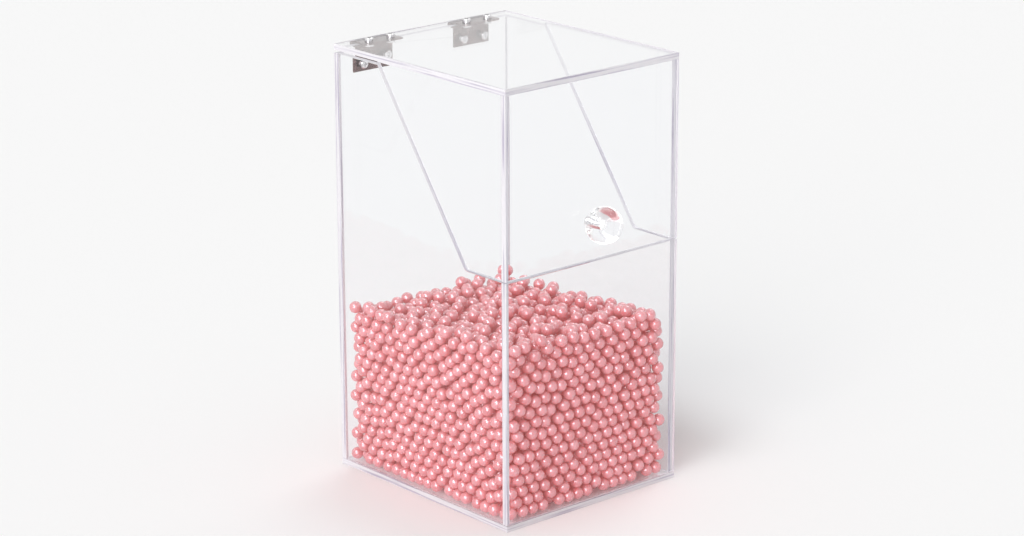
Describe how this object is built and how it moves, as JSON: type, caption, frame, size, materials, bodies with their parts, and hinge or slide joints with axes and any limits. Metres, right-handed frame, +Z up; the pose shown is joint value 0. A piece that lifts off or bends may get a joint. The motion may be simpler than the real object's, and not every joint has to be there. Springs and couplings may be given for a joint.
{
  "type": "acrylic make-up brush box",
  "caption": "Clear acrylic brush box with a flip-up lid on rear hinges, a round clear knob and a filling of pink pearl beads that holds brushes upright.",
  "frame": {"origin": "middle of the underside of the base panel, where the box stands on a surface", "axes": "+Z up, +X to the right along the front, +Y from the front with the knob to the hinges at the back"},
  "size_m": [0.107, 0.1411, 0.2112],
  "materials": {
    "clear_acrylic": "clear polished sheet",
    "knob_acrylic": "clear polished ball",
    "pearl": "pink pearl coating",
    "hinge_metal": "dark polished bronze plating",
    "screw_metal": "bright nickel plating"
  },
  "bodies": {
    "case": {"base_panel": "clear_acrylic", "back_panel": "clear_acrylic", "front_panel": "clear_acrylic", "left_side_panel": "clear_acrylic", "right_side_panel": "clear_acrylic", "left_hinge_case_leaf": "hinge_metal", "right_hinge_case_leaf": "hinge_metal", "left_hinge_pin": "hinge_metal", "right_hinge_pin": "hinge_metal", "case_hinge_screws": "screw_metal", "case_hinge_nuts": "screw_metal", "pearl_bed": "pearl", "left_wall_pearls": "pearl", "right_wall_pearls": "pearl", "front_wall_pearls": "pearl", "back_wall_pearls": "pearl", "loose_pearls": "pearl"},
    "lid": {"lid_top_panel": "clear_acrylic", "lid_front_panel": "clear_acrylic", "lid_left_side_panel": "clear_acrylic", "lid_right_side_panel": "clear_acrylic", "left_hinge_lid_leaf": "hinge_metal", "right_hinge_lid_leaf": "hinge_metal", "lid_hinge_screws": "screw_metal", "lid_hinge_nuts": "screw_metal", "knob_ball": "knob_acrylic", "knob_screw": "screw_metal"}
  },
  "joints": [
    {"name": "lid_hinge", "type": "hinge", "parent": "case", "child": "lid", "pos_m": [0, 0.06277, 0.20538], "axis": [-1, 0, 0], "range_deg": [0, 190]}
  ]
}
